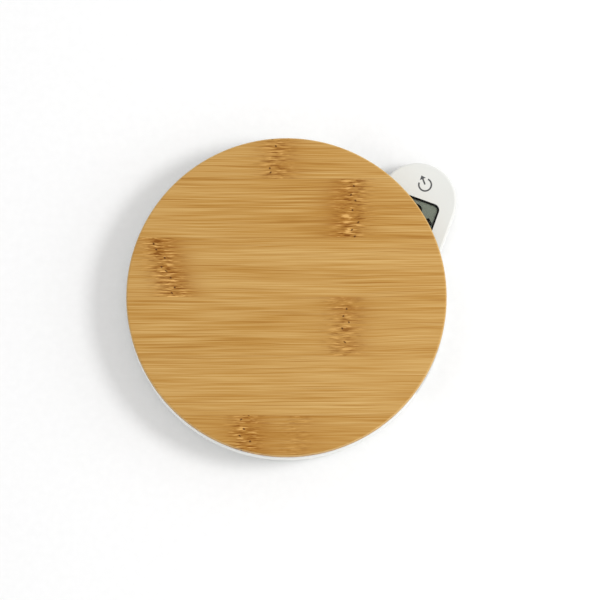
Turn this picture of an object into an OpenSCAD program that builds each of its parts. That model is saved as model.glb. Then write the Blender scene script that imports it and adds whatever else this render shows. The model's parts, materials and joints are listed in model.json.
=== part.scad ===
// Round kitchen scale: a bamboo weighing platform on a white base, with a display arm that
// swings out from under the platform on a pivot.
// Origin: on the platform's axis, at the surface that the feet rest on. +Z is up.
// The arm is drawn half open, which is joint value 0.

/* [Body] */
// Diameter of the platform and of the base
scale_d = 140; // [138:0.5:142]
// Height of the weighing surface above the table
scale_h = 21; // [21:0.5:24]
// Thickness of the bamboo board
board_h = 5; // [4:0.5:5]
// Thickness of the base's side wall
wall = 2; // [1.6:0.1:2.2]
// Height of the free gap between the base wall and the platform rim
rim_gap = 0.8; // [0.8:0.1:1]

/* [Display arm] */
// Radius of the arm's round ends, half its width
arm_r = 17; // [16.8:0.1:17.2]
// Distance from the pivot to the centre of the arm's tip
arm_len = 60.8; // [60.5:0.1:61]
// Height of the arm
arm_h = 8.8; // [8.8:0.1:8.9]
// Thickness of the arm's side walls
arm_wall = 1.4; // [1.2:0.1:1.5]
// Direction of the arm as drawn, in degrees from +X
arm_angle = 70; // [65:1:75]
// How far the arm turns outwards from there, in degrees
open_angle = 89; // [60:1:89]
// How far it turns back under the platform, in degrees
close_angle = 30; // [20:1:30]

/* [Display] */
// Length of the display window, along the arm
window_l = 32; // [30:0.5:32]
// Width of the display window
window_w = 20.8; // [19:0.1:21]

/* [Battery] */
// Diameter of the coin cell
cell_d = 20; // [19.8:0.1:20]
// Thickness of the coin cell
cell_h = 3.2; // [2.5:0.1:3.2]

/* [Hidden] */

$fn = 96;
eps = 0.01;

// Radii and levels of the stack, from the table up
scale_r = scale_d / 2;
foot_h = 1.5;
foot_sunk = 0.6;
foot_r = 6;
foot_circle_r = 58;
floor_h = 2;
floor_top = foot_h + floor_h;
carrier_h = 2.2;
carrier_plate_h = 1.4;
board_z = scale_h - board_h;
skirt_z = board_z - carrier_h;
plate_z = board_z - carrier_plate_h;
wall_top = skirt_z - rim_gap;
edge_r = 1.2;

// Arm: levels and places. Places along and across the arm start at the pivot.
pivot = [36.6, -14.1];
arm_gap = 0.5;
arm_z = floor_top + arm_gap;
arm_top = arm_z + arm_h;
arm_base_h = 1.4;
arm_base_top = arm_z + arm_base_h;
arm_roof_h = 1.2;
arm_roof = arm_top - arm_roof_h;
arm_edge_r = 0.9;
arm_inner_edge_r = 0.8;
lip_w = 1;
lip_h = 1.2;
lip_gap = 0.1;
lip_r = arm_r - arm_wall - lip_gap;
slot_start = -36;
slot_end = 71;

// Pivot
boss_r = 5;
boss_bore_r = 3.4;
boss_top = 8.9;
hub_r = 7.5;
hub_bore_r = 5.05;
hub_h = 2.4;
hub_top = arm_z + hub_h;
washer_r = 7.3;
wave_in_r = 5.2;
thrust_r = 9.5;
wave_h = 0.7;
wave_plate = 0.3;
flat_washer_h = 0.5;
groove_r = 4.5;
groove_h = 0.7;
clip_h = 0.6;
clip_r = 6.8;
groove_z = hub_top + wave_h + flat_washer_h + 0.05;
stop_circle_r = 12.5;
stop_r = 1.5;
stop_top = 6;
stop_slot_r = 1.7;
stop_angle = arm_angle + 180 - (open_angle - close_angle) / 2;

// Display stack
window_s = 46.3;
pcb_z = 6.8;
pcb_h = 1;
pcb_top = pcb_z + pcb_h;
pcb_start = 21;
pcb_end = 67.5;
pcb_half = 13.2;
tongue_end = 74.8;
tongue_half = 5.5;
glass_z = 9.6;
glass_h = 0.9;
glass_l = 34;
glass_w = 22.4;
lower_glass_w = 18.8;
lcd_top = glass_z + 2 * glass_h;
bezel_h = 0.18;
rim_w = 0.7;
rim_gap_w = 0.15;
rim_top = 11.9;
frame_wall = 1.2;
lens_h = 0.8;
window_corner = 2.8;
icon_s = 69.1;
icon_t = -0.5;
button_s = 52;
button_r = 3;
button_flange_r = 4.2;
dome_h = 0.4;

// Screws: shank radius, head radius, head height
m2 = [0.95, 1.9, 0.8];
m3 = [1.5, 2.8, 1.2];
post_r = 2.2;
arm_screw_places = [[14, 12.5], [14, -12.5], [71.4, 9.3], [71.4, -9.3]];
pcb_screw_places = [[24, 10.5], [24, -10.5]];
pcb_rest_places = [[34, 8], [34, -8], [59, 8], [59, -8]];

// Load cell, lying along Y: held at its -Y end, carrying the platform at its +Y end
cell_bar = [12, 60, 8.5];
bar_z = 4.5;
bar_top = bar_z + cell_bar[2];
bar_screw_y = [18.5, 26.5];
flexure_r = 2.9;
flexure_y = 6;
flexure_slit = 2;
plinth = [14, 15.5];
plinth_y = -31;
gauge = [5, 6, 0.15];
sealant_h = 0.4;
sealant_side = 0.8;
sealant_y = -9;
sealant_l = 14;
cell_end_y = 15;

// Battery compartment
well = [-37, 0];
well_r = 15;
well_roof = 9.4;
well_roof_h = 1;
door_r = 12.6;
door_h = 1.2;
door_z = foot_h + 0.1;
door_gap = 0.15;
ledge_r = 11.3;
ledge_top = 3.8;
lug_r = 13.2;
lug_h = 1;
lug_turn = 40;
coin_slot = [16, 2, 0.8];
coin_z = 5;
chamber_r = cell_d / 2 + 0.4;
contact_h = 0.3;
contact_w = 4;
contact_turn = 35;

// Wires: diameter, and the trench that they share on the way to the pivot
wire_d = 0.8;
trench_start = [-17, 7];
trench_w = 7;
trench_h = 1;
trench_z = floor_top - trench_h;
wire_pitch = 1.1;
wire_ring_r = 1.2;
wire_bend = 0.6;
wire_join_z = 8.2;
trench_l = norm(pivot - trench_start);
wire_z = trench_z + wire_d / 2 + 0.03;
wire_rise_z = 4.9;
sleeve_z = 7;
sleeve_top = 9.8;
sleeve_r = 1.85;
sleeve_wall = 0.45;

// Platform: foam pads, and the ribs and the boss under its carrier
pad_r = 9;
pad_h = 0.4;
pad_circle_r = 47;
rib_w = 1.2;
rib_ring_r = 44;
rib_start = 36;
rib_l = 31;
boss = [18, 19];
boss_y = 13;

// Points of an arc in a plane
function arc(centre, r, from, to, steps = 8) =
    [for (i = [0:steps]) let (a = from + (to - from) * i / steps)
        [centre[0] + r * cos(a), centre[1] + r * sin(a)]];

function unit(v) = v / norm(v);

// Half cross-section of a slab with a rounded top edge
function rounded_top(r, z0, z1, edge) =
    concat([[0, z0], [r, z0]], arc([r - edge, z1 - edge], edge, 0, 90), [[0, z1]]);

// Path through the points, with each corner replaced by a smooth bend
function bend_path(p, cut, steps = 5) = concat([p[0]],
    [for (i = [1:len(p) - 2], k = [0:steps])
        let (a = p[i] + cut * unit(p[i - 1] - p[i]), b = p[i] + cut * unit(p[i + 1] - p[i]))
        let (t = k / steps)
        (1 - t) * (1 - t) * a + 2 * t * (1 - t) * p[i] + t * t * b],
    [p[len(p) - 1]]);

// Directions along a path, and a side vector carried along it without twisting
function path_dirs(p) = [for (i = [0:len(p) - 1])
    unit(p[min(i + 1, len(p) - 1)] - p[max(i - 1, 0)])];
function carried(dirs, side, i = 0) = i == len(dirs) ? [] :
    let (s = unit(side - (side * dirs[i]) * dirs[i])) concat([s], carried(dirs, s, i + 1));

// Round tube of diameter d along a path; side is any vector that isn't along its start
module tube(p, d, side, sides = 8) {
    dirs = path_dirs(p);
    across = carried(dirs, side);
    points = [for (i = [0:len(p) - 1], k = [0:sides - 1]) let (a = 360 * k / sides)
        p[i] + d / 2 * (cos(a) * across[i] + sin(a) * cross(dirs[i], across[i]))];
    walls = [for (i = [0:len(p) - 2], k = [0:sides - 1]) let (n = (k + 1) % sides)
        [i * sides + k, (i + 1) * sides + k, (i + 1) * sides + n, i * sides + n]];
    start = [for (k = [0:sides - 1]) k];
    end = [for (k = [sides - 1:-1:0]) (len(p) - 1) * sides + k];
    polyhedron(points, concat(walls, [start, end]));
}

// Ring between two radii and two levels
module ring(r_in, r_out, z0, z1) {
    difference() {
        translate([0, 0, z0]) cylinder(h = z1 - z0, r = r_out);
        translate([0, 0, z0 - eps]) cylinder(h = z1 - z0 + 2 * eps, r = r_in);
    }
}

// Sector of a ring, from one angle to another
module ring_sector(r_in, r_out, z0, z1, from, to) {
    rotate(from) rotate_extrude(angle = to - from)
        translate([r_in, z0]) square([r_out - r_in, z1 - z0]);
}

// Block with round corners, centred in X and Y
module rounded_block(l, w, r, z0, z1) {
    translate([-l / 2 + r, -w / 2, z0]) cube([l - 2 * r, w, z1 - z0]);
    translate([-l / 2, -w / 2 + r, z0]) cube([l, w - 2 * r, z1 - z0]);
    for (x = [-1, 1], y = [-1, 1]) {
        translate([x * (l / 2 - r), y * (w / 2 - r), z0]) cylinder(h = z1 - z0, r = r);
    }
}

// Solid with the arm's outline, from its half cross-section
module stadium(profile) {
    last = len(profile) - 1;
    mirrored = [for (i = [last - 1:-1:1]) [-profile[i][0], profile[i][1]]];
    rotate_extrude() polygon(profile);
    translate([arm_len, 0, 0]) rotate_extrude() polygon(profile);
    rotate([90, 0, 90]) linear_extrude(arm_len) polygon(concat(profile, mirrored));
}

module stadium_slab(r, z0, z1) {
    stadium([[0, z0], [r, z0], [r, z1], [0, z1]]);
}

module at_pivot() {
    translate([pivot[0], pivot[1], 0]) children();
}

module on_arm(s = 0, t = 0) {
    at_pivot() rotate(arm_angle) translate([s, t, 0]) children();
}

module at_well() {
    translate([well[0], well[1], 0]) children();
}

// Screw pointing up from under its head, or down when flipped
module screw(size, z_head, length, flipped = false) {
    translate([0, 0, z_head]) mirror([0, 0, flipped ? 1 : 0]) {
        difference() {
            cylinder(h = size[2], r = size[1]);
            translate([0, 0, -eps]) cylinder(h = size[2] / 2, r = size[1] / 2, $fn = 6);
        }
        translate([0, 0, size[2] - eps]) cylinder(h = length + eps, r = size[0]);
    }
}

// ---- Base ----

module base_wall_profile() {
    polygon(concat([[0, foot_h]],
        arc([scale_r - edge_r, foot_h + edge_r], edge_r, -90, 0),
        [[scale_r, wall_top], [scale_r - wall, wall_top], [scale_r - wall, floor_top],
         [0, floor_top]]));
}

module battery_well_solid() {
    at_well() translate([0, 0, floor_top - eps])
        cylinder(h = well_roof + well_roof_h - floor_top + eps, r = well_r);
}

module battery_well_space() {
    at_well() {
        translate([0, 0, foot_h - eps]) cylinder(h = door_h + 0.1 + eps, r = door_r + door_gap);
        translate([0, 0, foot_h]) cylinder(h = coin_z - foot_h, r = ledge_r);
        translate([0, 0, ledge_top]) cylinder(h = coin_z - ledge_top, r = lug_r + 0.2);
        translate([0, 0, coin_z - eps]) cylinder(h = well_roof - coin_z + eps, r = chamber_r);
        for (i = [0:2]) {
            rotate(lug_turn + 120 * i)
                ring_sector(ledge_r - 1, lug_r + 0.2, foot_h + 1, ledge_top + eps, -14, 14);
        }
        // Slots in the well's wall for the two battery contacts
        translate([0, -contact_w / 2 - 0.2, well_roof - 0.5])
            cube([well_r + 1, contact_w + 0.4, 0.5]);
        rotate(contact_turn) translate([chamber_r - 1, -contact_w / 2 - 0.2, coin_z + 0.3])
            cube([well_r - chamber_r + 2, contact_w + 0.4, 3.2]);
    }
}

module wire_trench() {
    run = pivot - trench_start;
    translate([trench_start[0], trench_start[1], trench_z]) {
        rotate(atan2(run[1], run[0])) translate([0, -trench_w / 2, 0])
            cube([norm(run), trench_w, trench_h + eps]);
        cylinder(h = trench_h + eps, r = trench_w / 2);
    }
    at_pivot() translate([0, 0, trench_z]) cylinder(h = boss_top - trench_z + eps, r = boss_bore_r);
}

module base_shell() {
    color([0.93, 0.93, 0.92]) difference() {
        union() {
            rotate_extrude($fn = 180) base_wall_profile();
            translate([-plinth[0] / 2, plinth_y, floor_top - eps])
                cube([plinth[0], plinth[1], bar_z - floor_top + eps]);
            at_pivot() translate([0, 0, floor_top - eps])
                cylinder(h = boss_top - floor_top + eps, r = boss_r);
            at_pivot() rotate(stop_angle) translate([stop_circle_r, 0, floor_top - eps])
                cylinder(h = stop_top - floor_top + eps, r = stop_r);
            battery_well_solid();
        }
        battery_well_space();
        wire_trench();
        // Opening in the wall for the arm
        ring_sector(scale_r - wall - 1, scale_r + 1, floor_top, wall_top + 1, slot_start, slot_end);
        at_pivot() ring(groove_r, boss_r + 1, groove_z, groove_z + groove_h);
        for (i = [0:3]) {
            rotate(45 + 90 * i) translate([foot_circle_r, 0, foot_h - eps])
                cylinder(h = foot_sunk + eps, r = foot_r + 0.1);
        }
        for (y = bar_screw_y) {
            translate([0, -y, foot_h - eps]) cylinder(h = 1.5 + eps, r = m3[1] + 0.3);
            translate([0, -y, foot_h]) cylinder(h = 4, r = m3[0] + 0.2);
        }
    }
}

module foot(i) {
    color([0.75, 0.75, 0.74]) rotate(45 + 90 * (i - 1)) translate([foot_circle_r, 0, 0])
        rotate_extrude() polygon(concat([[0, 0.3], [foot_r - 2.2, 0.3], [foot_r - 1.8, 0]],
            arc([foot_r - 0.6, 0.6], 0.6, -90, 0, 5),
            [[foot_r, foot_h + foot_sunk], [0, foot_h + foot_sunk]]));
}

module thrust_washer() {
    color([0.95, 0.95, 0.93]) at_pivot() ring(boss_r + 0.1, thrust_r, floor_top, arm_z - 0.02);
}

module wave_washer() {
    steps = 48;
    middle = hub_top + wave_h / 2;
    swing = (wave_h - wave_plate) / 2 - 0.02;
    points = [for (i = [0:steps - 1])
        let (a = 360 * i / steps)
        let (z = middle + swing * cos(3 * a))
        for (c = [[wave_in_r, -1], [washer_r, -1], [washer_r, 1], [wave_in_r, 1]])
            [c[0] * cos(a), c[0] * sin(a), z + c[1] * wave_plate / 2]];
    faces = [for (i = [0:steps - 1], k = [0:3])
        let (m = (i + 1) % steps)
        let (n = (k + 1) % 4)
        [i * 4 + k, i * 4 + n, m * 4 + n, m * 4 + k]];
    color([0.8, 0.8, 0.8]) at_pivot() polyhedron(points, faces);
}

module pivot_washer() {
    z = hub_top + wave_h;
    color([0.85, 0.85, 0.85]) at_pivot() ring(boss_r + 0.05, washer_r, z, z + flat_washer_h);
}

module circlip() {
    z = groove_z + 0.05;
    gap_angle = 22;
    ear_angle = 36;
    ear_place = clip_r + 0.3;
    ear_r = 1.2;
    color([0.25, 0.25, 0.27]) at_pivot() difference() {
        union() {
            ring_sector(groove_r + 0.02, clip_r, z, z + clip_h, gap_angle, 360 - gap_angle);
            for (a = [ear_angle, -ear_angle]) {
                rotate(a) translate([ear_place, 0, z]) cylinder(h = clip_h, r = ear_r);
            }
        }
        for (a = [ear_angle, -ear_angle]) {
            rotate(a) translate([ear_place, 0, z - 1]) cylinder(h = clip_h + 2, r = ear_r / 2);
        }
    }
}

// ---- Load cell ----

module load_cell() {
    color([0.78, 0.79, 0.8]) difference() {
        translate([-cell_bar[0] / 2, -cell_bar[1] / 2, bar_z]) cube(cell_bar);
        for (y = [-flexure_y, flexure_y]) {
            translate([-cell_bar[0], y, bar_z + cell_bar[2] / 2]) rotate([0, 90, 0])
                cylinder(h = 2 * cell_bar[0], r = flexure_r);
        }
        translate([-cell_bar[0], -flexure_y, bar_z + (cell_bar[2] - flexure_slit) / 2])
            cube([2 * cell_bar[0], 2 * flexure_y, flexure_slit]);
        for (y = bar_screw_y, side = [-1, 1]) {
            translate([0, side * y, bar_z - 1]) cylinder(h = cell_bar[2] + 2, r = m3[0] + 0.05);
        }
    }
}

module load_cell_screws() {
    color([0.8, 0.8, 0.82]) for (y = bar_screw_y) {
        translate([0, -y, 0]) screw(m3, foot_h + 0.25, 8.5);
    }
}

module strain_gauges() {
    color([0.85, 0.6, 0.25]) for (y = [-flexure_y, flexure_y], z = [bar_top, bar_z - gauge[2]]) {
        translate([-gauge[0] / 2, y - gauge[1] / 2, z]) cube(gauge);
    }
}

// White silicone over the gauges and down the side where the leads come out
module gauge_sealant() {
    color([0.96, 0.96, 0.95]) difference() {
        union() {
            translate([0, 0, bar_top]) rounded_block(10, 22, 2, 0, sealant_h);
            translate([cell_bar[0] / 2, sealant_y, bar_z + 2])
                cube([sealant_side, sealant_l, cell_bar[2] - 2]);
            translate([3, sealant_y, bar_top])
                cube([cell_bar[0] / 2 - 3 + sealant_side, sealant_l, sealant_h]);
        }
        strain_gauges();
    }
}

// ---- Battery ----

module coin_cell() {
    can_h = cell_h - 0.5;
    color([0.82, 0.82, 0.83]) at_well() {
        rotate_extrude() polygon(concat([[0, coin_z]],
            arc([cell_d / 2 - 0.3, coin_z + 0.3], 0.3, -90, 0, 4),
            [[cell_d / 2, coin_z + can_h], [cell_d / 2 - 0.6, coin_z + can_h],
             [cell_d / 2 - 1, coin_z + cell_h], [0, coin_z + cell_h]]));
    }
}

module negative_contact() {
    top = well_roof - 0.05;
    leaf_x = -5;
    leaf_w = 2.8;
    leaf_z = coin_z + cell_h + 0.02;
    tab_x = well_r + 0.3;
    tab_h = 2.8;
    color([0.8, 0.75, 0.6]) at_well() {
        translate([leaf_x, -contact_w / 2, top - contact_h])
            cube([tab_x + contact_h - leaf_x, contact_w, contact_h]);
        translate([tab_x, -contact_w / 2, top - tab_h]) cube([contact_h, contact_w, tab_h]);
        translate([leaf_x, -leaf_w / 2, leaf_z]) cube([2, leaf_w, contact_h]);
        translate([leaf_x, -leaf_w / 2, leaf_z]) cube([contact_h, leaf_w, top - leaf_z]);
    }
}

module positive_contact() {
    top = coin_z + 3.1;
    inner_x = cell_d / 2 + 0.02;
    tab_x = well_r + 0.32;
    color([0.8, 0.75, 0.6]) at_well() rotate(contact_turn) {
        translate([inner_x, -contact_w / 2, top - 2.6]) cube([contact_h, contact_w, 2.6]);
        translate([inner_x, -contact_w / 2, top - contact_h])
            cube([tab_x + contact_h - inner_x, contact_w, contact_h]);
        translate([tab_x, -contact_w / 2, top - 2.5]) cube([contact_h, contact_w, 2.5]);
    }
}

module battery_door() {
    color([0.9, 0.9, 0.89]) at_well() difference() {
        union() {
            translate([0, 0, door_z]) cylinder(h = door_h, r = door_r);
            translate([0, 0, door_z]) cylinder(h = coin_z - 0.1 - door_z, r = ledge_r - 0.15);
            for (i = [0:2]) {
                rotate(120 * i)
                    ring_sector(ledge_r - 2, lug_r, ledge_top + 0.1, ledge_top + lug_h, -10, 10);
            }
        }
        // Coin slot in the outside, and the hub's hollow inside
        translate([-coin_slot[0] / 2, -coin_slot[1] / 2, door_z - eps])
            cube([coin_slot[0], coin_slot[1], coin_slot[2] + eps]);
        ring(3, ledge_r - 1.6, door_z + door_h + 0.4, coin_z);
    }
}

// ---- Wires ----

// Point in the trench: along it from its start, across it, at a level
function in_trench(along, across, z) =
    let (u = unit(pivot - trench_start))
    [trench_start[0] + along * u[0] - across * u[1], trench_start[1] + along * u[1] + across * u[0],
     z];

// Place across the trench of wire k, the middle of the six being 0
function wire_offset(k) = (k - 2.5) * wire_pitch;

// Where the six wires stand in the sleeve, given the order that they arrive or leave in
function wire_ring(order) = [for (a = order) [wire_ring_r * cos(a), wire_ring_r * sin(a)]];

// Wire k runs along the trench, turns up inside the pivot and gathers into the sleeve
function trench_route(k, start) =
    let (place = wire_ring([-90, -150, -30, 150, 30, 90])[k])
    [in_trench(start, wire_offset(k), wire_z),
     in_trench(trench_l, wire_offset(k), wire_z),
     in_trench(trench_l, wire_offset(k), wire_rise_z),
     in_trench(trench_l + place[0], place[1], sleeve_z),
     in_trench(trench_l + place[0], place[1], wire_join_z)];

// Red wire from the positive contact, black wire from the negative one
module lead_red() {
    route = concat([[-24, 9.7, 6.6], [-21.5, 11.8, 6.2], [-19.3, 11.2, 4.1],
        in_trench(1, 2.4, 4.05), in_trench(5, wire_offset(5), wire_z)], trench_route(5, 9));
    color([0.75, 0.1, 0.08]) tube(bend_path(route, wire_bend), wire_d, [0, 0, 1]);
}

module lead_black() {
    route = concat([[-21.1, 0.6, 7.4], [-19.2, 2.2, 6.8], [-18, 4.6, 4.2],
        in_trench(3, wire_offset(4), wire_z)], trench_route(4, 9));
    color([0.12, 0.12, 0.12]) tube(bend_path(route, wire_bend), wire_d, [0, 0, 1]);
}

// Four wires from the sealant on the load cell
module load_cell_leads() {
    colours = [[0.1, 0.5, 0.2], [0.9, 0.9, 0.9], [0.12, 0.12, 0.12], [0.75, 0.1, 0.08]];
    drop = 28;
    for (k = [0:3]) {
        top = in_trench(drop, wire_offset(k), 9);
        route = concat([[cell_bar[0] / 2 + 0.82, top[1], 9], top], trench_route(k, drop));
        color(colours[k]) tube(bend_path(route, wire_bend), wire_d, [0, 1, 0.1]);
    }
}

module wire_sleeve() {
    color([0.1, 0.1, 0.1]) at_pivot() ring(sleeve_r, sleeve_r + sleeve_wall, sleeve_z, sleeve_top);
}

// Six wires from the pivot to the board in the arm
module arm_leads() {
    pad_t = [-4.5, -2.7, -0.9, 0.9, 2.7, 4.5];
    places = wire_ring([-90, -150, -30, 30, 150, 90]);
    rise = [10.2, 11.1, 10.2, 10.2, 11.1, 10.2];
    color([0.3, 0.3, 0.3]) on_arm() for (k = [0:5]) {
        start = places[k];
        route = [[start[0], start[1], wire_join_z + 0.05], [start[0], start[1], rise[k]],
            [8, pad_t[k], rise[k]], [18, pad_t[k], pcb_top + wire_d / 2 + 0.15],
            [22.6, pad_t[k], pcb_top + wire_d / 2 + 0.05]];
        tube(bend_path(route, wire_bend), wire_d, [1, 0.1, 0]);
    }
}

// ---- Platform ----

module platform_carrier() {
    color([0.93, 0.93, 0.92]) difference() {
        union() {
            translate([0, 0, plate_z]) cylinder(h = carrier_plate_h, r = scale_r, $fn = 180);
            ring(scale_r - wall, scale_r, skirt_z, plate_z + eps, $fn = 180);
            translate([-boss[0] / 2, boss_y, skirt_z])
                cube([boss[0], boss[1], plate_z - skirt_z + eps]);
            ring(rib_ring_r, rib_ring_r + rib_w, skirt_z, plate_z + eps);
            for (a = [0:30:330]) {
                rotate(a) translate([rib_start, -rib_w / 2, skirt_z])
                    cube([rib_l, rib_w, plate_z - skirt_z + eps]);
            }
        }
        for (y = bar_screw_y) {
            translate([0, y, plate_z + 0.1]) cylinder(h = 3, r = m3[1] + 0.2);
            translate([0, y, skirt_z - 1]) cylinder(h = 5, r = m3[0] + 0.2);
        }
        for (i = [0:5]) {
            rotate(60 * i) translate([pad_circle_r, 0, board_z - pad_h])
                cylinder(h = pad_h + 1, r = pad_r + 0.1);
        }
    }
}

module load_cell_spacer() {
    color([0.7, 0.72, 0.74]) difference() {
        translate([-cell_bar[0] / 2, cell_end_y, bar_top + eps])
            cube([cell_bar[0], cell_bar[1] / 2 - cell_end_y, skirt_z - bar_top - eps]);
        for (y = bar_screw_y) {
            translate([0, y, bar_top - 1]) cylinder(h = 4, r = m3[0] + 0.2);
        }
    }
}

module carrier_screws() {
    color([0.8, 0.8, 0.82]) for (y = bar_screw_y) {
        translate([0, y, 0]) screw(m3, plate_z + 0.1 + m3[2], 8, flipped = true);
    }
}

module adhesive_pads() {
    color([0.9, 0.9, 0.85]) for (i = [0:5]) {
        rotate(60 * i) translate([pad_circle_r, 0, board_z - pad_h]) cylinder(h = pad_h, r = pad_r);
    }
}

module bamboo_platform() {
    top_edge = 0.9;
    low_edge = 0.5;
    color([0.85, 0.63, 0.35]) rotate_extrude($fn = 180) polygon(concat([[0, board_z]],
        arc([scale_r - low_edge, board_z + low_edge], low_edge, -90, 0, 5),
        arc([scale_r - top_edge, scale_h - top_edge], top_edge, 0, 90, 8),
        [[0, scale_h]]));
}

// ---- Display arm ----

module arm_screw_posts(r, z0, z1) {
    for (p = arm_screw_places) {
        translate([p[0], p[1], z0]) cylinder(h = z1 - z0, r = r);
    }
}

module arm_bottom_cover() {
    color([0.92, 0.92, 0.91]) on_arm() difference() {
        union() {
            stadium_slab(arm_r, arm_z, arm_base_top);
            difference() {
                stadium_slab(lip_r, arm_base_top - eps, arm_base_top + lip_h);
                stadium_slab(lip_r - lip_w, arm_base_top - 2 * eps, arm_base_top + lip_h + 1);
                arm_screw_posts(post_r + 0.2, arm_base_top, arm_base_top + lip_h + 1);
            }
            translate([0, 0, arm_z]) cylinder(h = hub_h, r = hub_r);
            for (p = pcb_rest_places) {
                translate([p[0], p[1], arm_z]) cylinder(h = pcb_z - arm_z - 0.05, r = 1.2);
            }
        }
        translate([0, 0, arm_z - 1]) cylinder(h = hub_h + 2, r = hub_bore_r);
        // Slot that runs over the stop pin
        rotate(stop_angle - arm_angle) {
            ring_sector(stop_circle_r - stop_slot_r, stop_circle_r + stop_slot_r, arm_z - 1,
                arm_base_top + 1, -close_angle, open_angle);
            for (a = [-close_angle, open_angle]) {
                rotate(a) translate([stop_circle_r, 0, arm_z - 1])
                    cylinder(h = arm_base_h + 2, r = stop_slot_r + 0.1);
            }
        }
        arm_screw_posts(m2[1] + 0.2, arm_z - 1, arm_z + m2[2] + 0.1);
        arm_screw_posts(m2[0] + 0.15, arm_z - 1, arm_z + 3);
        translate([button_s, 0, arm_z - 1]) cylinder(h = arm_base_h + 2, r = button_r + 0.2);
    }
}

module arm_top_cover() {
    color([0.95, 0.95, 0.94]) on_arm() difference() {
        union() {
            difference() {
                stadium(rounded_top(arm_r, arm_base_top + 0.02, arm_top, arm_edge_r));
                stadium(rounded_top(arm_r - arm_wall, arm_base_top - 1, arm_roof, arm_inner_edge_r));
            }
            arm_screw_posts(post_r, arm_base_top + 0.02, arm_roof + eps);
            for (p = pcb_screw_places) {
                translate([p[0], p[1], pcb_top + 0.02])
                    cylinder(h = arm_roof - pcb_top, r = 2);
            }
        }
        arm_screw_posts(m2[0] + 0.05, arm_base_top - 1, arm_z + m2[2] + 6.5);
        for (p = pcb_screw_places) {
            translate([p[0], p[1], pcb_top - 1]) cylinder(h = 4, r = m2[0] + 0.05);
        }
        translate([window_s, 0, 0])
            rounded_block(window_l, window_w, window_corner, arm_roof - 1, arm_top + 1);
    }
}

module display_lens() {
    color([0.75, 0.8, 0.8, 0.5]) on_arm(window_s) rounded_block(window_l - 0.2, window_w - 0.2,
        window_corner - 0.1, rim_top + 0.02, rim_top + 0.02 + lens_h);
}

module lcd_frame() {
    inner_l = glass_l + 0.2;
    inner_w = glass_w + 0.2;
    rim_l = window_l - 2 * rim_gap_w;
    rim_side = window_w - 2 * rim_gap_w;
    rim_corner = window_corner - rim_gap_w;
    color([0.05, 0.05, 0.05]) on_arm(window_s) difference() {
        union() {
            rounded_block(inner_l + 2 * frame_wall, inner_w + 2 * frame_wall, 1.5, pcb_top + 0.02,
                lcd_top + bezel_h - 0.02);
            rounded_block(rim_l, rim_side, rim_corner, lcd_top, rim_top);
        }
        translate([-inner_l / 2, -inner_w / 2, pcb_top - 1])
            cube([inner_l, inner_w, lcd_top - pcb_top + 1]);
        rounded_block(rim_l - 2 * rim_w, rim_side - 2 * rim_w, rim_corner - rim_w, lcd_top - 1,
            rim_top + 1);
    }
}

module lcd_panel() {
    color([0.6, 0.66, 0.6]) on_arm(window_s) {
        translate([-glass_l / 2, -glass_w / 2, glass_z + glass_h])
            cube([glass_l, glass_w, glass_h - 0.02]);
        translate([-glass_l / 2, -lower_glass_w / 2, glass_z])
            cube([glass_l, lower_glass_w, glass_h + eps]);
    }
}

module zebra_strip(side) {
    strip_w = 1.4;
    strip_l = 30;
    strip_t = (lower_glass_w + strip_w) / 2 + 0.2;
    color([0.35, 0.35, 0.38]) on_arm(window_s, side * strip_t)
        translate([-strip_l / 2, -strip_w / 2, pcb_top + eps])
            cube([strip_l, strip_w, glass_z + glass_h - pcb_top - 2 * eps]);
}

module main_pcb() {
    color([0.1, 0.4, 0.22]) on_arm() difference() {
        union() {
            translate([pcb_start, -pcb_half, pcb_z]) cube([pcb_end - pcb_start, 2 * pcb_half, pcb_h]);
            translate([pcb_end - eps, -tongue_half, pcb_z])
                cube([tongue_end - pcb_end, 2 * tongue_half, pcb_h]);
        }
        for (p = pcb_screw_places) {
            translate([p[0], p[1], pcb_z - 1]) cylinder(h = pcb_h + 2, r = m2[0] + 0.15);
        }
    }
}

module chip_blob() {
    blob_h = 1.4;
    blob_r = 4.5;
    color([0.06, 0.06, 0.06]) on_arm(window_s) rotate_extrude() polygon(concat(
        [for (i = [0:8]) let (a = 90 * i / 8) [blob_r * cos(a), pcb_top + 0.01 + blob_h * sin(a)]],
        [[0, pcb_top + 0.01]]));
}

// Small board parts: place along and across the arm, then length, width and height
smd_list = [[27, 6.2, 2, 1.2, 0.6], [27, -6.2, 2, 1.2, 0.6], [24.6, 6.5, 1.2, 2, 0.6],
    [65.9, -8.8, 2, 1.2, 0.7], [65.9, -5.4, 2, 1.2, 0.7], [65.9, 5.4, 2, 1.2, 0.7],
    [65.9, 9, 2, 3.2, 1.4], [70.4, 3.8, 1.2, 2, 0.6]];

module smd_parts() {
    color([0.55, 0.45, 0.35]) on_arm() {
        for (p = smd_list) {
            translate([p[0] - p[2] / 2, p[1] - p[3] / 2, pcb_top + 0.01]) cube([p[2], p[3], p[4]]);
        }
        for (k = [0:5]) {
            translate([23.6, (k - 2.5) * 1.8, pcb_top + 0.01]) cylinder(h = 0.7, r = 0.75, $fn = 24);
        }
    }
}

module touch_spring() {
    turns = 5;
    steps = 14;
    spring_d = 0.5;
    coil_r = 2.4;
    z0 = pcb_top + 0.3;
    rise = arm_roof - 0.3 - z0;
    path = [for (i = [0:turns * steps])
        let (a = 360 * i / steps)
        [coil_r * cos(a), coil_r * sin(a), z0 + rise * i / (turns * steps)]];
    color([0.8, 0.8, 0.82]) on_arm(icon_s, icon_t) tube(path, spring_d, [1, 0, 0]);
}

module button_dome() {
    rim = 0.05;
    color([0.8, 0.8, 0.8]) on_arm(button_s) rotate_extrude() polygon(concat(
        [[0, pcb_z - 0.02]],
        [for (i = [0:6]) let (a = 90 * i / 6)
            [3 * cos(a), pcb_z - rim - (dome_h - rim) * sin(a)]]));
}

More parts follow.
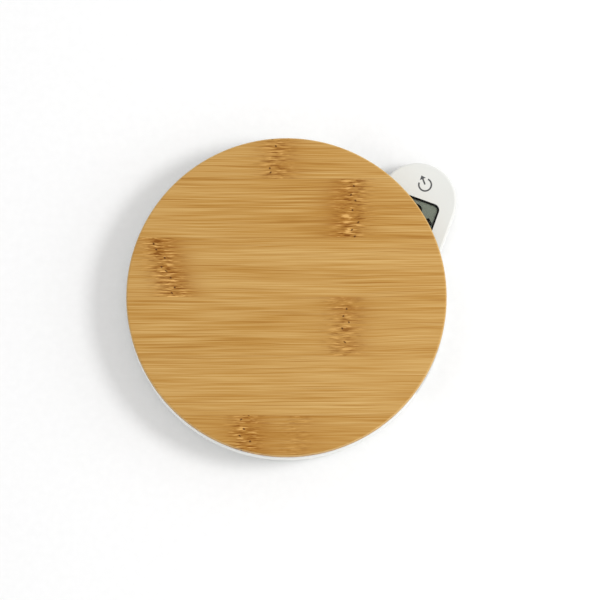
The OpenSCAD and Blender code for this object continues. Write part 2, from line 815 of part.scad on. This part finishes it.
module pcb_screws() {
    color([0.8, 0.8, 0.82]) on_arm() for (p = pcb_screw_places) {
        translate([p[0], p[1], 0]) screw(m2, pcb_z - m2[2] - 0.02, 3.6);
    }
}

module arm_screws() {
    color([0.8, 0.8, 0.82]) on_arm() for (p = arm_screw_places) {
        translate([p[0], p[1], 0]) screw(m2, arm_z + 0.08, 6);
    }
}

module unit_button() {
    flange_z = arm_base_top + 0.05;
    color([0.6, 0.62, 0.64]) on_arm(button_s) {
        translate([0, 0, arm_z + 0.1]) cylinder(h = flange_z - arm_z, r = button_r);
        translate([0, 0, flange_z]) cylinder(h = 0.4, r = button_flange_r);
        translate([0, 0, flange_z]) cylinder(h = pcb_z - dome_h - 0.05 - flange_z, r = 1.2);
    }
}

base_shell();
foot(1);  // foot_1
foot(2);  // foot_2
foot(3);  // foot_3
foot(4);  // foot_4
load_cell();
load_cell_screws();
strain_gauges();
gauge_sealant();
thrust_washer();
wave_washer();
pivot_washer();
circlip();
coin_cell();
negative_contact();
positive_contact();
lead_red();
lead_black();
load_cell_leads();
wire_sleeve();
battery_door();
platform_carrier();
load_cell_spacer();
carrier_screws();
adhesive_pads();
bamboo_platform();
arm_bottom_cover();
arm_top_cover();
display_lens();
lcd_frame();
lcd_panel();
zebra_strip(1);  // zebra_strip_1
zebra_strip(-1);  // zebra_strip_2
main_pcb();
chip_blob();
smd_parts();
touch_spring();
button_dome();
pcb_screws();
arm_screws();
arm_leads();
unit_button();
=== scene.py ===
"""Looks of the round kitchen scale: bamboo platform, white base, display arm that swings out."""

import json
import math

import bmesh
import bpy
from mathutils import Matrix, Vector


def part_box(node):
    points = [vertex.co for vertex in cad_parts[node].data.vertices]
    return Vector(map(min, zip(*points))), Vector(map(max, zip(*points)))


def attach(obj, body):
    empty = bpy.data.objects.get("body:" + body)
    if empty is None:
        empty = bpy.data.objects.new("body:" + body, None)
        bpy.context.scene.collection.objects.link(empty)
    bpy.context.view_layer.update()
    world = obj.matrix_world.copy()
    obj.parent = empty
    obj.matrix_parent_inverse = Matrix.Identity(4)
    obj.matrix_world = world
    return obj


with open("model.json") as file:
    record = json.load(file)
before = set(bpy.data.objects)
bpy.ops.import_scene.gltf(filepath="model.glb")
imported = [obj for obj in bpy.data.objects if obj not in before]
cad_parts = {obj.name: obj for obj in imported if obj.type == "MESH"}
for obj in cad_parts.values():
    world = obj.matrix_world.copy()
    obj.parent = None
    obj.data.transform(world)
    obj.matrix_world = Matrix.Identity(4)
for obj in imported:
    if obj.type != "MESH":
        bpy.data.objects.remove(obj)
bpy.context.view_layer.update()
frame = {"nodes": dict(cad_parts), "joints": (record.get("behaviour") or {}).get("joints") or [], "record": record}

MM = 0.001
NODES = frame["nodes"]
SLOT_OF = {row["node"]: row["material_slot"] for row in frame["record"]["subparts"]}

board_low, board_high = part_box("bamboo_platform")
board_r = (board_high.x - board_low.x) / 2
board_top = board_high.z


# ---- Camera, floor and light ----

CAMERA_TILT = math.radians(6.6)
CAMERA_DISTANCE = 4.0
# Width of the view at the board's top, and what the camera looks at, beside the board's middle
VIEW_WIDTH = 1.8715 * 2 * board_r
AIM = Vector((5.9 * MM, -1.4 * MM, board_top))
SKY_STRENGTH = 0.84


def make_camera():
    """Looks down on the scale, tilted a little towards the user."""
    data = bpy.data.cameras.new("camera")
    data.sensor_width = 36.0
    data.lens = data.sensor_width * CAMERA_DISTANCE / VIEW_WIDTH
    data.clip_start = 0.01
    data.clip_end = 20
    camera = bpy.data.objects.new("camera", data)
    bpy.context.collection.objects.link(camera)
    away = Vector((0, -math.sin(CAMERA_TILT), math.cos(CAMERA_TILT)))
    camera.location = AIM + CAMERA_DISTANCE * away
    camera.rotation_euler = (CAMERA_TILT, 0, 0)
    bpy.context.scene.camera = camera


def area_light(name, azimuth, elevation, distance, size, power):
    """A round light aimed at the scale. Azimuth is in degrees from +X towards +Y."""
    a, e = math.radians(azimuth), math.radians(elevation)
    data = bpy.data.lights.new(name, "AREA")
    data.shape = "DISK"
    data.size = size
    data.energy = power
    light = bpy.data.objects.new(name, data)
    bpy.context.collection.objects.link(light)
    towards = Vector((math.cos(a) * math.cos(e), math.sin(a) * math.cos(e), math.sin(e)))
    light.location = distance * towards
    light.rotation_euler = towards.to_track_quat("Z", "Y").to_euler()
    return light


def make_studio():
    scene = bpy.context.scene
    scene.view_settings.view_transform = "Standard"
    world = bpy.data.worlds.new("studio")
    scene.world = world
    world.use_nodes = True
    world.node_tree.nodes["Background"].inputs["Color"].default_value = (1, 1, 1, 1)
    world.node_tree.nodes["Background"].inputs["Strength"].default_value = SKY_STRENGTH
    area_light("key", 5, 52, 1.3, 0.4, 6.5)
    area_light("side", 0, 26, 1.6, 0.9, 3.5)
    bpy.ops.mesh.primitive_plane_add(size=6)
    floor = bpy.context.object
    floor.name = "floor"
    floor.data.materials.append(paper())

    # Lights the underside, for views from below. The floor doesn't block it
    under = area_light("under", 0, -90, 1.0, 1.2, 2.2)
    blockers = bpy.data.collections.new("under_blockers")
    blockers.objects.link(floor)
    blockers.collection_objects[0].light_linking.link_state = "EXCLUDE"
    under.light_linking.blocker_collection = blockers


# ---- Material building ----

def srgb(red, green, blue):
    """Linear colour from the usual 0 to 255 values."""
    def one(c):
        c /= 255
        return c / 12.92 if c <= 0.04045 else ((c + 0.055) / 1.055) ** 2.4
    return (one(red), one(green), one(blue))


class Shader:
    """A node material, written as a chain of calls. Arguments are numbers or sockets."""

    def __init__(self, name):
        self.material = bpy.data.materials.new(name)
        self.material.use_nodes = True
        self.tree = self.material.node_tree
        self.tree.nodes.clear()

    def node(self, kind, settings=(), **inputs):
        made = self.tree.nodes.new(kind)
        for key, value in dict(settings).items():
            setattr(made, key, value)
        for key, value in inputs.items():
            self.feed(made.inputs[key.replace("_", " ")], value)
        return made

    def feed(self, socket, value):
        if isinstance(value, bpy.types.NodeSocket):
            self.tree.links.new(value, socket)
        elif isinstance(value, tuple) and socket.type == "RGBA":
            socket.default_value = (*value, 1.0)[:4]
        else:
            socket.default_value = value

    def math(self, operation, a, b=0.0, c=0.0):
        made = self.tree.nodes.new("ShaderNodeMath")
        made.operation = operation
        for socket, value in zip(made.inputs, (a, b, c)):
            self.feed(socket, value)
        return made.outputs[0]

    def add(self, a, b):
        return self.math("ADD", a, b)

    def mul(self, a, b):
        return self.math("MULTIPLY", a, b)

    def object_mm(self):
        """Place on the object, in millimetres."""
        place = self.node("ShaderNodeTexCoord").outputs["Object"]
        scaled = self.node("ShaderNodeVectorMath", {"operation": "SCALE"}, Vector=place)
        scaled.inputs["Scale"].default_value = 1 / MM
        return scaled.outputs[0]

    def split(self, vector):
        return self.node("ShaderNodeSeparateXYZ", Vector=vector).outputs[:]

    def join(self, x, y, z):
        return self.node("ShaderNodeCombineXYZ", X=x, Y=y, Z=z).outputs[0]

    def stretch(self, vector, scale):
        made = self.node("ShaderNodeMapping", Vector=vector)
        made.inputs["Scale"].default_value = scale
        return made.outputs[0]

    def noise(self, vector, scale, detail=2.0, roughness=0.5):
        made = self.node("ShaderNodeTexNoise", Vector=vector, Scale=scale, Detail=detail,
                         Roughness=roughness)
        return made.outputs["Fac"]

    def random(self, value):
        """A steady random value between 0 and 1 for each input value."""
        return self.node("ShaderNodeTexWhiteNoise", {"noise_dimensions": "1D"}, W=value).outputs[0]

    def ramp(self, factor, stops):
        """Colour from a list of places between 0 and 1 and their colours."""
        made = self.node("ShaderNodeValToRGB", Fac=factor)
        ramp = made.color_ramp
        while len(ramp.elements) < len(stops):
            ramp.elements.new(0.5)
        for element, (place, colour) in zip(ramp.elements, stops):
            element.position = place
            element.color = (*colour, 1.0)
        return made.outputs["Color"]

    def fade(self, value, low, high):
        """0 below low, 1 above high, or the other way round if low is above high."""
        made = self.node("ShaderNodeMapRange", {"interpolation_type": "SMOOTHSTEP"}, Value=value)
        made.inputs["From Min"].default_value = low
        made.inputs["From Max"].default_value = high
        return made.outputs[0]

    def blend(self, factor, a, b):
        made = self.tree.nodes.new("ShaderNodeMix")
        made.data_type = "RGBA"
        self.feed(made.inputs[0], factor)
        self.feed(made.inputs[6], a)
        self.feed(made.inputs[7], b)
        return made.outputs[2]

    def finish(self, colour, roughness, height=None, bump_mm=0.05, **constants):
        """Principled surface. height is 0 to 1, and bump_mm is how deep it is."""
        shader = self.tree.nodes.new("ShaderNodeBsdfPrincipled")
        self.feed(shader.inputs["Base Color"], colour)
        self.feed(shader.inputs["Roughness"], roughness)
        for key, value in constants.items():
            self.feed(shader.inputs[key.replace("_", " ")], value)
        if height is not None:
            bump = self.node("ShaderNodeBump", Height=height, Strength=1.0)
            bump.inputs["Distance"].default_value = bump_mm * MM
            self.tree.links.new(bump.outputs[0], shader.inputs["Normal"])
        out = self.tree.nodes.new("ShaderNodeOutputMaterial")
        self.tree.links.new(shader.outputs[0], out.inputs[0])
        return self.material


# ---- Materials ----

def paper():
    """Pale studio paper. It can be seen through from below, so that the underside shows."""
    s = Shader("paper")
    grain = s.noise(s.object_mm(), 0.3, 4)
    tone = s.ramp(grain, [(0.3, (0.86, 0.86, 0.86)), (0.7, (0.88, 0.88, 0.88))])
    material = s.finish(tone, 0.9)
    out = s.tree.nodes["Material Output"]
    mix = s.tree.nodes.new("ShaderNodeMixShader")
    s.tree.links.new(s.node("ShaderNodeNewGeometry").outputs["Backfacing"], mix.inputs[0])
    s.tree.links.new(out.inputs[0].links[0].from_socket, mix.inputs[1])
    s.tree.links.new(s.node("ShaderNodeBsdfTransparent").outputs[0], mix.inputs[2])
    s.tree.links.new(mix.outputs[0], out.inputs[0])
    return material


# Width of a bamboo strip, in mm as all numbers of the bamboo
STRIP = 26.0
# Knots of the bamboo: place along the grain, strip counted from the middle, strength, slant,
# and how far the brown halo lies beside the line of pits
KNOTS = [(-5.0, 2, 0.8, 0.0, 2.5), (29.3, 1, 1.05, 0.05, -4.0), (-54.0, 0, 1.2, -0.35, 3.0),
         (24.5, -1, 0.75, 0.0, 2.5), (-18.0, -3, 1.0, 0.0, 2.5), (4.0, -3, 0.35, 0.0, 2.5)]
# Pits lie in a line across the strip. Spread is how far they may lie apart along the grain
PIT_SPACING = 3.1
PIT_SPREAD = 5.0
PIT_RADIUS = 0.6
PIT_CORE = 0.25
PITS_LEFT_OUT = 0.25
# How far the line of a knot sways, and the half widths of its flecks and halo along the grain
KNOT_SWAY = 6.0
KNOT_HALF = 6.6
HALO_HALF = 9.5


def bamboo_knots(s, x, y, strip, seed):
    """Halo, flecked zone and pits of every knot at a place in mm, each 0 to about 1."""
    sway = s.noise(s.join(s.mul(y, 0.2), s.mul(seed, 7.0), 4.0), 1.0, 2)
    sway = s.mul(s.add(sway, -0.5), KNOT_SWAY)

    def bell(value, width):
        """1 at 0, falling off to both sides."""
        return s.math("EXPONENT", s.mul(s.math("POWER", s.mul(value, 1 / width), 2), -1))

    step = s.math("DIVIDE", y, PIT_SPACING)
    cell = s.math("FLOOR", step)
    pit_y = s.mul(s.add(s.math("FRACT", step), s.add(s.mul(s.random(cell), -0.5), -0.25)), PIT_SPACING)
    pit_x = s.mul(s.add(s.random(s.add(cell, 40.7)), -0.5), PIT_SPREAD)

    halo = flecked = pits = 0.0
    for place, row, strength, slant, beside in KNOTS:
        here = s.mul(s.math("COMPARE", strip, float(row), 0.5), strength)
        line = s.add(s.mul(s.add(y, -(row + 0.5) * STRIP), slant), place)
        off = s.math("SUBTRACT", s.math("SUBTRACT", x, line), sway)
        halo = s.add(halo, s.mul(bell(s.add(off, -beside), HALO_HALF), here))
        flecked = s.add(flecked, s.mul(bell(s.add(off, -0.25 * beside), KNOT_HALF), here))
        away = s.math("SQRT", s.add(s.math("POWER", s.add(off, pit_x), 2), s.math("POWER", pit_y, 2)))
        drawn = s.math("GREATER_THAN", s.random(s.add(cell, 91.2)), PITS_LEFT_OUT)
        drawn = s.mul(drawn, s.fade(here, 0.45, 0.7))
        pits = s.add(pits, s.mul(s.fade(away, PIT_RADIUS, PIT_CORE), drawn))
    return halo, flecked, pits


def bamboo():
    """Flat-pressed bamboo strips, grain along X, with the knots of the canes across them."""
    s = Shader("bamboo")
    x, y, z = s.split(s.object_mm())
    strip = s.math("FLOOR", s.math("DIVIDE", y, STRIP))
    seed = s.random(s.add(strip, 11.3))
    along = s.add(x, s.mul(seed, 900.0))
    halo, flecked, pits = bamboo_knots(s, x, y, strip, seed)

    # Grain lines wander a little, and more beside a knot
    wander = s.noise(s.join(s.mul(along, 0.012), s.mul(y, 0.03), 0.0), 1.0, 2)
    ripple = s.noise(s.join(s.mul(x, 0.13), s.mul(y, 0.4), 7.0), 1.0, 2)
    across = s.add(y, s.add(s.mul(s.add(wander, -0.5), 3.0),
                            s.mul(s.mul(s.add(ripple, -0.5), flecked), 1.2)))

    # Grain at three widths, and a tone of its own for each strip, from the nearest to the farthest
    fine = s.noise(s.join(s.mul(along, 0.024), s.mul(across, 2.0), s.mul(z, 2.0)), 1.0, 2, 0.6)
    middle = s.noise(s.join(s.mul(along, 0.014), s.mul(across, 0.8), s.mul(z, 0.8)), 1.0, 2)
    broad = s.noise(s.join(s.mul(along, 0.009), s.mul(across, 0.14), 3.0), 1.0, 2)
    tone = s.add(s.mul(fine, 0.6), s.add(s.mul(middle, 0.14), s.mul(broad, 0.26)))
    lean = s.ramp(s.mul(s.add(strip, 3.0), 1 / 6), [(0.0, (0.44,) * 3), (0.17, (0.56,) * 3),
                  (0.34, (0.47,) * 3), (0.5, (0.57,) * 3), (0.67, (0.46,) * 3), (0.84, (0.46,) * 3)])
    tone = s.add(tone, s.mul(s.add(lean, -0.5), 0.3))
    colour = s.ramp(tone, [(0.3, srgb(148, 97, 33)), (0.43, srgb(176, 129, 60)),
                           (0.53, srgb(188, 146, 82)), (0.66, srgb(203, 166, 103))])

    # Dark vessels: thin broken lines along the grain, with a few long pale ones
    streak = s.noise(s.join(s.mul(along, 0.016), s.mul(across, 2.0), 9.0), 1.0, 1, 0.55)
    vessels = s.mul(s.fade(streak, 0.6, 0.72), 0.6)
    colour = s.blend(vessels, colour, srgb(146, 92, 20))
    colour = s.blend(s.mul(s.fade(streak, 0.36, 0.26), 0.25), colour, srgb(214, 176, 106))
    seam_place = s.math("ABSOLUTE", s.add(s.math("FRACT", s.math("DIVIDE", y, STRIP)), -0.5))
    seam = s.mul(s.fade(seam_place, 0.4925, 0.499), s.mul(s.fade(middle, 0.3, 0.6), 0.55))
    colour = s.blend(seam, colour, srgb(140, 90, 32))

    # Knots: a brown halo in streaks, long light and dark flecks, and small pits
    shade = s.mul(halo, s.fade(fine, 0.3, 0.75))
    colour = s.blend(s.math("MINIMUM", s.mul(shade, 1.1), 0.8), colour, srgb(146, 88, 10))
    fleck = s.noise(s.join(s.mul(x, 0.17), s.mul(across, 1.6), 2.0), 1.0, 2.0)
    dark = s.mul(s.fade(fleck, 0.48, 0.36), flecked)
    light = s.mul(s.fade(fleck, 0.54, 0.66), flecked)
    colour = s.blend(s.math("MINIMUM", s.mul(dark, 0.95), 0.9), colour, srgb(118, 65, 2))
    colour = s.blend(s.math("MINIMUM", s.mul(light, 0.85), 0.85), colour, srgb(224, 176, 104))
    colour = s.blend(s.mul(pits, 0.9), colour, srgb(80, 42, 8))

    # The rounded rim gets a painted highlight, a paler colour all round it, and the ends of the fibres drink more
    # of the oil
    normal = s.split(s.node("ShaderNodeTexCoord").outputs["Normal"])
    # Painted highlight: where the normal tilts outward on the rim, the colour is blended towards a pale cream
    painted_rim_highlight = s.mul(s.fade(normal[2], 0.93, 0.75), s.fade(normal[2], 0.0, 0.3))
    colour = s.blend(s.mul(painted_rim_highlight, 0.35), colour, srgb(232, 206, 150))
    ends = s.mul(s.math("POWER", s.math("ABSOLUTE", normal[0]), 3), 0.35)
    colour = s.blend(ends, colour, srgb(140, 92, 36))

    height = s.add(s.mul(fine, 0.6), s.mul(s.mul(fleck, flecked), 0.9))
    height = s.math("SUBTRACT", height, s.mul(s.add(pits, vessels), 0.6))
    roughness = s.add(0.46, s.mul(fine, 0.16))
    return s.finish(colour, roughness, height, 0.02, Specular_IOR_Level=0.12)


def plastic(name, colour, roughness, grain=1.6, bump_mm=0.004, tint=0.03, shine=0.5):
    """Moulded plastic with a fine spark-eroded grain and a trace of flow variation."""
    s = Shader(name)
    place = s.object_mm()
    sparks = s.noise(place, grain, 3, 0.6)
    flow = s.noise(s.stretch(place, (0.02, 0.03, 0.05)), 1.0, 2)
    darker = tuple(c * (1 - tint) for c in colour)
    lighter = tuple(min(1.0, c * (1 + tint)) for c in colour)
    tone = s.ramp(flow, [(0.3, darker), (0.7, lighter)])
    rough = s.add(roughness - 0.05, s.mul(sparks, 0.1))
    return s.finish(tone, rough, sparks, bump_mm, Specular_IOR_Level=shine)


def metal(name, colour, roughness, scratch=(0.15, 3.0, 3.0), tint=0.12):
    """Bright metal with fine scratches along one direction."""
    s = Shader(name)
    place = s.object_mm()
    lines = s.noise(s.stretch(place, scratch), 1.0, 4, 0.65)
    blotch = s.noise(place, 0.12, 2)
    tone = s.ramp(s.add(s.mul(lines, 0.6), s.mul(blotch, 0.4)),
                  [(0.3, tuple(c * (1 - tint) for c in colour)), (0.7, colour)])
    rough = s.add(roughness - 0.08, s.mul(lines, 0.16))
    return s.finish(tone, rough, lines, 0.006, Metallic=1.0)


def rubber(name, colour, roughness=0.7):
    s = Shader(name)
    place = s.object_mm()
    pores = s.noise(place, 2.2, 4, 0.65)
    dust = s.noise(place, 0.15, 3)
    tone = s.ramp(s.add(s.mul(pores, 0.3), s.mul(dust, 0.7)),
                  [(0.35, tuple(c * 0.88 for c in colour)), (0.68, colour)])
    return s.finish(tone, s.add(roughness - 0.06, s.mul(pores, 0.12)), pores, 0.02)


def wire(name, colour):
    """PVC insulation with faint die lines along the wire."""
    s = Shader(name)
    place = s.object_mm()
    mottle = s.noise(place, 1.4, 3)
    tone = s.ramp(mottle, [(0.3, tuple(c * 0.8 for c in colour)), (0.7, colour)])
    return s.finish(tone, s.add(0.34, s.mul(mottle, 0.12)), mottle, 0.01)


def circuit_board():
    """Green solder mask over copper tracks."""
    s = Shader("circuit_board")
    place = s.object_mm()
    turned = s.node("ShaderNodeVectorRotate", {"rotation_type": "Z_AXIS"}, Vector=place)
    turned.inputs["Angle"].default_value = math.radians(-70)
    along, across, _ = s.split(turned.outputs[0])
    block = s.math("FLOOR", s.mul(along, 0.22))
    lane = s.add(across, s.mul(s.math("FLOOR", s.mul(s.random(block), 4.0)), 0.4))
    stripe = s.math("ABSOLUTE", s.add(s.math("FRACT", s.mul(lane, 0.62)), -0.5))
    used = s.fade(s.random(s.math("FLOOR", s.mul(lane, 0.62))), 0.42, 0.46)
    track = s.mul(s.fade(stripe, 0.24, 0.2), used)
    mottle = s.noise(place, 0.8, 3)
    mask = s.ramp(mottle, [(0.3, srgb(14, 84, 48)), (0.7, srgb(20, 98, 58))])
    tone = s.blend(s.mul(track, 0.8), mask, srgb(44, 132, 78))
    return s.finish(tone, s.add(0.26, s.mul(mottle, 0.08)), track, 0.03)


def lcd_glass():
    """Twisted-nematic glass: grey-green, a little uneven."""
    s = Shader("lcd_glass")
    cloud = s.noise(s.object_mm(), 0.06, 2)
    tone = s.ramp(cloud, [(0.3, srgb(111, 119, 106)), (0.7, srgb(119, 127, 113))])
    speckle = s.noise(s.object_mm(), 6.0, 2)
    return s.finish(tone, s.add(0.3, s.mul(speckle, 0.08)), speckle, 0.002)


def lens():
    """Clear acrylic, drawn as a faint glossy film so that the display stays bright."""
    s = Shader("clear_lens")
    haze = s.noise(s.object_mm(), 0.5, 3)
    rough = s.add(0.03, s.mul(haze, 0.05))
    return s.finish((0.03, 0.035, 0.03), rough, haze, 0.002, Alpha=0.03, IOR=1.45)


def printed(name, colour):
    """Pad-printed ink: slightly uneven, matt."""
    s = Shader(name)
    dots = s.noise(s.object_mm(), 3.0, 3)
    tone = s.ramp(dots, [(0.35, tuple(c * 0.85 for c in colour)), (0.65, colour)])
    return s.finish(tone, s.add(0.45, s.mul(dots, 0.1)), dots, 0.004, Specular_IOR_Level=0.1)


def layered_rubber():
    """Zebra strip: conductive and clear layers in turn."""
    s = Shader("layered_rubber")
    place = s.object_mm()
    turned = s.node("ShaderNodeVectorRotate", {"rotation_type": "Z_AXIS"}, Vector=place)
    turned.inputs["Angle"].default_value = math.radians(-70)
    along = s.split(turned.outputs[0])[0]
    layer = s.math("ABSOLUTE", s.add(s.math("FRACT", s.mul(along, 2.5)), -0.5))
    tone = s.ramp(layer, [(0.2, (0.02, 0.02, 0.02)), (0.3, (0.35, 0.35, 0.36))])
    return s.finish(tone, s.add(0.55, s.mul(layer, 0.1)), layer, 0.01)


def make_materials():
    white = (0.68, 0.685, 0.655)
    grey = (0.72, 0.73, 0.74)
    return {
        "bamboo": bamboo(),
        "white_plastic": plastic("white_plastic", white, 0.4),
        "door_plastic": plastic("door_plastic", (0.645, 0.65, 0.625), 0.45),
        "button_plastic": plastic("button_plastic", srgb(150, 154, 160), 0.4),
        "black_plastic": plastic("black_plastic", srgb(10, 10, 11), 0.5, tint=0.15, shine=0.1),
        "rubber": rubber("foot_rubber", srgb(196, 196, 192)),
        "silicone": rubber("sealant", srgb(232, 232, 228), 0.5),
        "foam": rubber("foam_tape", srgb(226, 224, 210), 0.85),
        "aluminium": metal("milled_aluminium", (0.77, 0.78, 0.79), 0.36, (2.5, 0.12, 2.5)),
        "steel": metal("plated_steel", grey, 0.3),
        "spring_steel": metal("spring_steel", (0.66, 0.66, 0.67), 0.25),
        "black_steel": metal("black_steel", (0.12, 0.12, 0.13), 0.42),
        "cell_steel": metal("cell_steel", (0.76, 0.76, 0.77), 0.3, (0.1, 1.5, 1.5)),
        "contact_metal": metal("spring_bronze", (0.82, 0.7, 0.46), 0.28),
        "gauge_foil": plastic("gauge_foil", srgb(196, 128, 52), 0.3, tint=0.15),
        "red_wire": wire("red_wire", srgb(182, 26, 22)),
        "black_wire": wire("black_wire", srgb(28, 28, 29)),
        "gauge_wire": wire("gauge_wire", srgb(70, 120, 84)),
        "grey_wire": wire("grey_wire", srgb(150, 150, 152)),
        "clear_lens": lens(),
        "lcd_glass": lcd_glass(),
        "zebra_rubber": layered_rubber(),
        "green_board": circuit_board(),
        "board_parts": plastic("board_parts", srgb(168, 140, 104), 0.35, tint=0.2),
    }


def dress_nodes(materials):
    for name, obj in NODES.items():
        material = materials[SLOT_OF[name]]
        obj.data.materials.clear()
        obj.data.materials.append(material)


# ---- Mesh building ----

def mesh_object(name, bm, material, body):
    mesh = bpy.data.meshes.new(name)
    bmesh.ops.recalc_face_normals(bm, faces=bm.faces)
    bm.to_mesh(mesh)
    bm.free()
    obj = bpy.data.objects.new(name, mesh)
    bpy.context.collection.objects.link(obj)
    mesh.materials.append(material)
    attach(obj, body)


def plate(bm, outline, z0, z1):
    """Closed plate between two levels, from its outline in the XY plane."""
    low = [bm.verts.new((x, y, z0)) for x, y in outline]
    high = [bm.verts.new((x, y, z1)) for x, y in outline]
    bm.faces.new(low[::-1])
    bm.faces.new(high)
    count = len(outline)
    for i in range(count):
        j = (i + 1) % count
        bm.faces.new((low[i], low[j], high[j], high[i]))


def band(bm, inner, outer, z0, z1):
    """Closed strip between two lines with the same number of points."""
    rings = [[bm.verts.new((x, y, z)) for x, y in line] for z in (z0, z1) for line in (inner, outer)]
    low_in, low_out, high_in, high_out = rings
    last = len(inner) - 1
    for i in range(last):
        bm.faces.new((high_in[i], high_in[i + 1], high_out[i + 1], high_out[i]))
        bm.faces.new((low_in[i], low_out[i], low_out[i + 1], low_in[i + 1]))
        bm.faces.new((low_in[i], low_in[i + 1], high_in[i + 1], high_in[i]))
        bm.faces.new((low_out[i], high_out[i], high_out[i + 1], low_out[i + 1]))
    for i in (0, last):
        bm.faces.new((low_in[i], high_in[i], high_out[i], low_out[i]))


# ---- The arm's print and display ----

hinge = next(j for j in frame["joints"] if j["name"] == "arm_pivot")
pivot = Vector(hinge["pos_m"]).xy
ARM_ANGLE = math.radians(70)
arm_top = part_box("arm_top_cover")[1].z
glass_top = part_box("lcd_panel")[1].z


def on_arm(s, t):
    """Place from millimetres along and across the arm, counted from its pivot."""
    c, n = math.cos(ARM_ANGLE), math.sin(ARM_ANGLE)
    return (pivot.x + (s * c - t * n) * MM, pivot.y + (s * n + t * c) * MM)


def arc_line(s, t, radius, start, end, steps=40):
    """Points of an arc on the arm. Angles count from the arm's own direction."""
    angles = [math.radians(start + (end - start) * i / steps) for i in range(steps + 1)]
    return [on_arm(s + radius * math.cos(a), t + radius * math.sin(a)) for a in angles]


def key_symbol(ink):
    """On/off symbol printed over the touch key: an open ring and an arrow that leaves it."""
    s, t = 68.85, -0.6
    radius, stroke = 2.75, 0.7
    z0, z1 = arm_top - 0.01 * MM, arm_top + 0.02 * MM
    bm = bmesh.new()
    band(bm, arc_line(s, t, radius - stroke / 2, 89, 352),
         arc_line(s, t, radius + stroke / 2, 89, 352), z0, z1)
    direction = math.radians(41)

    def at(forward, side):
        c, n = math.cos(direction), math.sin(direction)
        return on_arm(s + forward * c - side * n, t + forward * n + side * c)

    plate(bm, [at(0.1, -0.35), at(2.8, -0.35), at(2.8, 0.35), at(0.1, 0.35)], z0, z1)
    plate(bm, [at(2.75, -1.4), at(4.4, 0), at(2.75, 1.4)], z0, z1)
    mesh_object("key_symbol", bm, ink, "display_arm")


SEGMENTS = {"a": (0, 2, 1, 2), "b": (1, 2, 1, 1), "c": (1, 1, 1, 0), "d": (0, 0, 1, 0),
            "e": (0, 1, 0, 0), "f": (0, 2, 0, 1), "g": (0, 1, 1, 1)}


def digit_bar(bm, corner, size, thick, name, z0, z1):
    """One bar of a seven-segment digit, from the digit's lower left corner and its size."""
    gap = 0.08
    half = thick / 2
    x0, y0, x1, y1 = SEGMENTS[name]

    def joint(x, y):
        return Vector((corner[0] + half + x * (size[0] - thick),
                       corner[1] + half + y * (size[1] - thick) / 2))

    low, high = joint(x0, y0), joint(x1, y1)
    unit = (high - low).normalized()
    side = Vector((-unit.y, unit.x)) * half
    a, b = low + unit * gap, high - unit * gap
    outline = [a, a + unit * half + side, b - unit * half + side, b, b - unit * half - side,
               a + unit * half - side]
    plate(bm, [on_arm(*p) for p in outline], z0, z1)


def display_digits(dark, ghost):
    """Reading of zero: a large digit with a small one after it. The other digits are off."""
    baseline = -9.3
    large, small = (7.2, 13.4), (4.3, 7.0)
    digits = [(25.6, large, 1.5, False), (34.1, large, 1.5, False), (42.6, large, 1.5, True),
              (51.3, small, 1.8, True)]
    z0, z1 = glass_top + 0.01 * MM, glass_top + 0.06 * MM
    lit, unlit = bmesh.new(), bmesh.new()
    for s, size, thick, shown in digits:
        for name in SEGMENTS:
            on = shown and name != "g"
            digit_bar(lit if on else unlit, (s, baseline), size, thick, name, z0, z1)
    # Ring that says the reading is steady
    s, t, radius, stroke = 57.3, -0.6, 1.65, 1.9
    band(lit, arc_line(s, t, radius - stroke / 2, 0, 360),
         arc_line(s, t, radius + stroke / 2, 0, 360), z0, z1)
    mesh_object("lit_segments", lit, dark, "display_arm")
    mesh_object("unlit_segments", unlit, ghost, "display_arm")


def make_print():
    key_symbol(printed("grey_ink", srgb(88, 89, 90)))
    dark = printed("lcd_dark", srgb(8, 9, 9))
    ghost = printed("lcd_ghost", srgb(98, 106, 94))
    display_digits(dark, ghost)


make_camera()
make_studio()
dress_nodes(make_materials())
make_print()
